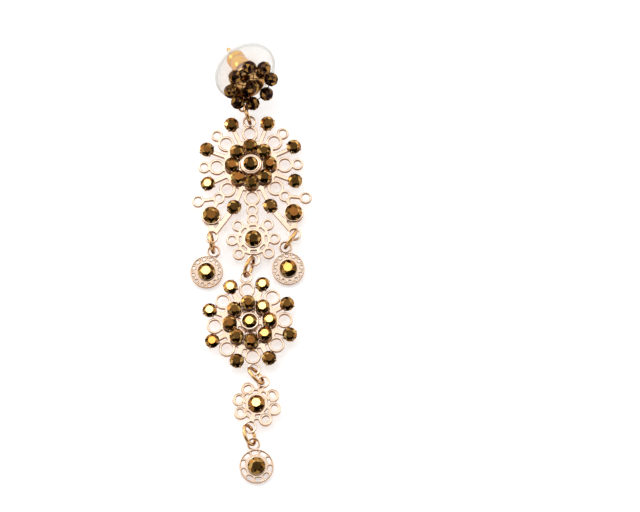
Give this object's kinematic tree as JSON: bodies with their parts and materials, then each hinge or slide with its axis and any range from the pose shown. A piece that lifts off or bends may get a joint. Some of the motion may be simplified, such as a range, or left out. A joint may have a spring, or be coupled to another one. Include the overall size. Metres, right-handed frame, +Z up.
{
  "type": "chandelier earring",
  "caption": "Long pierced chandelier earring lying face up: beaded ear stud with post and sliding clutch, two stone-set plates, side drops, flower link and end disc on jump rings.",
  "frame": {"origin": "on the surface the earring lies on, under the middle of its bounding box", "axes": "+Z up from the surface, out of the plates' front; +Y from the end disc towards the ear stud; +X to the right as seen from above"},
  "size_m": [0.0218, 0.0824, 0.0123],
  "materials": {
    "rose_gold": "pale rose-gold plate, polished",
    "gold": "yellow-gold plate, polished",
    "crystal": "cut crystal with a metallic bronze coating",
    "bead": "faceted glass with a metallic bronze coating",
    "clear_plastic": "clear, smooth"
  },
  "bodies": {
    "earring": {"main_large_stone_left": "crystal", "main_large_stone_right": "crystal", "main_plate": "rose_gold", "main_centre_stone": "crystal", "main_inner_stones": "crystal", "lower_flower_stone": "crystal", "main_outer_stone_1": "crystal", "main_outer_stone_2": "crystal", "main_outer_stone_3": "crystal", "main_outer_stone_4": "crystal", "main_outer_stone_5": "crystal", "main_outer_stone_6": "crystal", "main_outer_stone_7": "crystal", "main_outer_stone_8": "crystal", "side_disc_left": "rose_gold", "side_stone_left": "crystal", "jump_ring_left": "gold", "side_disc_right": "rose_gold", "side_stone_right": "crystal", "jump_ring_right": "gold", "second_plate": "rose_gold", "second_centre_stone": "crystal", "second_inner_stones": "crystal", "second_outer_stone_1": "crystal", "second_outer_stone_2": "crystal", "second_outer_stone_3": "crystal", "second_outer_stone_4": "crystal", "second_outer_stone_5": "crystal", "second_outer_stone_6": "crystal", "second_outer_stone_7": "crystal", "second_outer_stone_8": "crystal", "jump_ring_middle": "gold", "flower_link": "rose_gold", "flower_stone": "crystal", "jump_ring_lower": "gold", "end_disc": "rose_gold", "end_stone": "crystal", "jump_ring_end": "gold", "ear_post": "gold", "bead_1": "bead", "bead_2": "bead", "bead_3": "bead", "bead_4": "bead", "bead_5": "bead", "bead_6": "bead", "bead_7": "bead", "bead_8": "bead", "bead_9": "bead", "jump_ring_top": "gold"},
    "ear_clutch": {"clutch_disc": "clear_plastic", "clutch_barrel": "gold"}
  },
  "joints": [
    {"name": "clutch_slide", "type": "slide", "parent": "earring", "child": "ear_clutch", "axis": [-0.3892, 0.7319, -0.5593], "range_m": [-0.0018, 0.009]}
  ]
}
